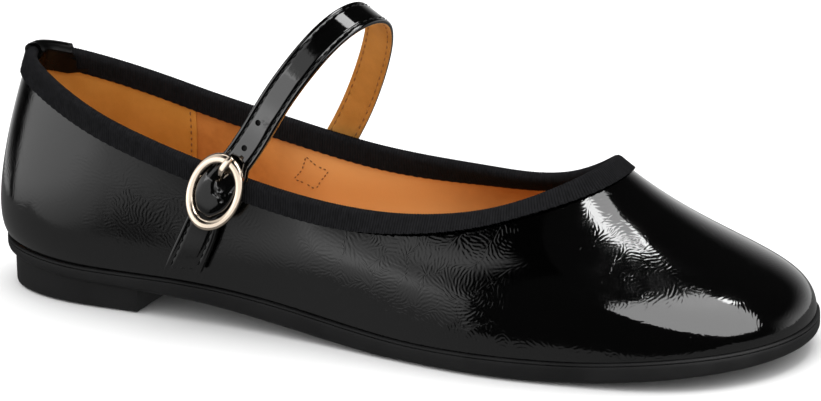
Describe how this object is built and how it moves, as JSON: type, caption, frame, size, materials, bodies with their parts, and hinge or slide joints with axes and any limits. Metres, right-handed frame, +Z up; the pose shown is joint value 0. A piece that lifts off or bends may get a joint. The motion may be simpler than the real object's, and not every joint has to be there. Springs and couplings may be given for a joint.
{
  "type": "ballet flat",
  "caption": "Low flat shoe for the right foot: hollow one-piece upper on a thin moulded sole with a low heel, and a buckled strap over the instep.",
  "frame": {"origin": "on the floor under the middle of the shoe's bounding box", "axes": "+X towards the toe, +Y towards the inner side of the foot (the big toe's side), +Z up"},
  "size_m": [0.2534, 0.087, 0.0941],
  "materials": {
    "patent": "black crinkled patent, high gloss",
    "lining": "tan lining, satin",
    "ribbon": "black ribbed ribbon, matt",
    "rubber": "black moulded rubber, matt",
    "pale_gold": "polished pale gold plating"
  },
  "bodies": {
    "root": {"sole": "rubber", "upper": "patent", "insole": "lining", "topline_binding": "ribbon", "heel_tab": "patent", "strap": "patent", "buckle_tab": "patent", "buckle_ring": "pale_gold", "buckle_prong": "pale_gold"}
  },
  "joints": []
}
